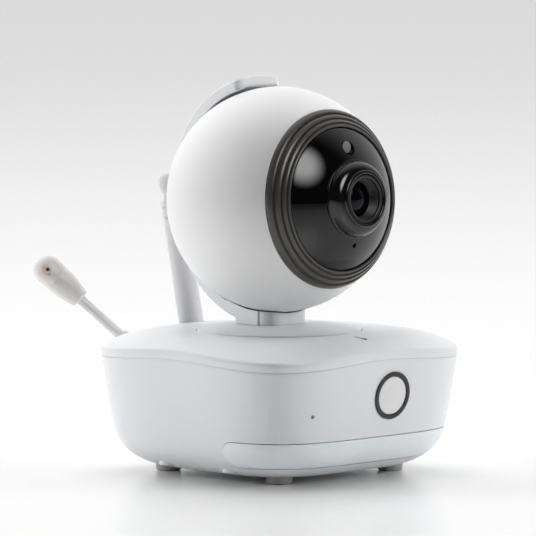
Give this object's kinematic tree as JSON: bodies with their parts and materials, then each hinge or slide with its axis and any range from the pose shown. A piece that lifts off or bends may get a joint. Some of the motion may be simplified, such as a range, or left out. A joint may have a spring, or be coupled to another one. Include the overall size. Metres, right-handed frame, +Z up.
{
  "type": "baby monitor camera",
  "caption": "Pan-and-tilt ball camera on a curved rear arm over a rounded-square base, with a front button, a light strip, a folding aerial and a plug-in room probe.",
  "frame": {"origin": "centre of the tripod socket's mouth, 0.9 mm above the plane of the feet: the pan axis crosses the table plane at z = 0", "axes": "+Z up along the pan axis; the camera faces -Y at rest; +X is to the right seen from the front"},
  "size_m": [0.0938, 0.1187, 0.1234],
  "materials": {
    "white_housing": "fine spark-eroded satin, moulded ABS",
    "foot_rubber": "matte moulded rubber",
    "steel": "plated",
    "brass": "machined",
    "light_diffuser": "translucent opal acrylic",
    "circuit_board": "solder mask",
    "charcoal_plastic": "satin moulded",
    "black_plastic": "matte moulded",
    "light_pipe": "smoked clear",
    "gear_acetal": "natural acetal",
    "button_cap": "satin moulded",
    "cast_alloy": "die cast",
    "cable_jacket": "matte",
    "bezel_plastic": "satin moulded, stepped",
    "black_gloss": "polished acrylic",
    "lens_glass": "coated glass",
    "led_resin": "clear resin",
    "sensor_window": "translucent grey",
    "aerial_plastic": "satin moulded",
    "probe_plastic": "translucent white moulded"
  },
  "bodies": {
    "base": {"base_bowl": "white_housing", "base_top_cover": "white_housing", "rubber_feet": "foot_rubber", "base_screws": "steel", "tripod_insert": "brass", "light_strip": "light_diffuser", "light_strip_board": "circuit_board", "button_ring": "charcoal_plastic", "button_switch_board": "circuit_board", "main_board": "circuit_board", "board_screws": "steel", "board_chips": "black_plastic", "radio_shield": "steel", "power_inlet": "black_plastic", "sensor_jack": "black_plastic", "speaker": "black_plastic", "microphone": "steel", "status_light_pipe": "light_pipe", "pan_motor": "steel", "pan_motor_screws": "steel", "turntable_bush": "gear_acetal", "aerial_hinge_pin": "steel"},
    "front_button": {"front_button": "button_cap"},
    "pan_pinion": {"pan_pinion": "gear_acetal"},
    "turntable": {"turntable": "white_housing", "pan_gear": "gear_acetal", "gear_clip": "steel", "neck_front_cover": "white_housing", "arm_shell": "white_housing", "arm_inner_cover": "white_housing", "arm_screws": "steel", "yoke_plate": "cast_alloy", "tilt_axle": "steel", "tilt_sector_gear": "gear_acetal", "head_cable": "cable_jacket"},
    "head": {"head_shell_left": "white_housing", "head_shell_right": "white_housing", "tilt_bushes": "gear_acetal", "bezel_ring": "bezel_plastic", "bezel_screws": "steel", "face_window": "black_gloss", "lens_collar": "black_gloss", "lens_barrel": "black_plastic", "lens_front_glass": "lens_glass", "lens_holder": "black_plastic", "image_sensor": "black_plastic", "camera_board": "circuit_board", "infrared_board": "circuit_board", "infrared_leds": "led_resin", "light_sensor_window": "sensor_window", "light_sensor": "led_resin", "tilt_motor": "steel"},
    "tilt_pinion": {"tilt_pinion": "gear_acetal"},
    "aerial": {"aerial_rod": "aerial_plastic", "aerial_knuckle": "aerial_plastic"},
    "probe": {"probe_plug": "probe_plastic", "probe_stem": "probe_plastic", "probe_head": "probe_plastic", "probe_thermistor": "black_plastic"}
  },
  "joints": [
    {"name": "pan", "type": "hinge", "parent": "base", "child": "turntable", "pos_m": [0, 0, 0.0442], "axis": [0, 0, 1], "range_deg": [-165, 165]},
    {"name": "pan_pinion_spin", "type": "hinge", "parent": "base", "child": "pan_pinion", "pos_m": [-0.01683, -0.01223, 0.035], "axis": [0, 0, 1], "range_deg": [-560, 560]},
    {"name": "tilt", "type": "hinge", "parent": "turntable", "child": "head", "pos_m": [0, 0, 0.085], "axis": [-1, 0, 0], "range_deg": [-30, 35]},
    {"name": "tilt_pinion_spin", "type": "hinge", "parent": "head", "child": "tilt_pinion", "pos_m": [0, 0, 0.1032], "axis": [-1, 0, 0], "range_deg": [-110, 125]},
    {"name": "button_press", "type": "slide", "parent": "base", "child": "front_button", "axis": [0, 0.9903, 0.1392], "range_m": [0, 0.0008], "stiffness_N_per_m": 1500},
    {"name": "aerial_fold", "type": "hinge", "parent": "base", "child": "aerial", "pos_m": [0, 0.0387, 0.0415], "axis": [-1, 0, 0], "range_deg": [-5, 68]},
    {"name": "probe_swivel", "type": "hinge", "parent": "base", "child": "probe", "pos_m": [-0.0168, 0.048, 0.03625], "axis": [0, 1, 0], "range_deg": [-60, 10]}
  ],
  "couplings": [
    {"joint": "pan_pinion_spin", "follows": "pan", "ratio": -3.3333},
    {"joint": "tilt_pinion_spin", "follows": "tilt", "ratio": 3.3333}
  ]
}
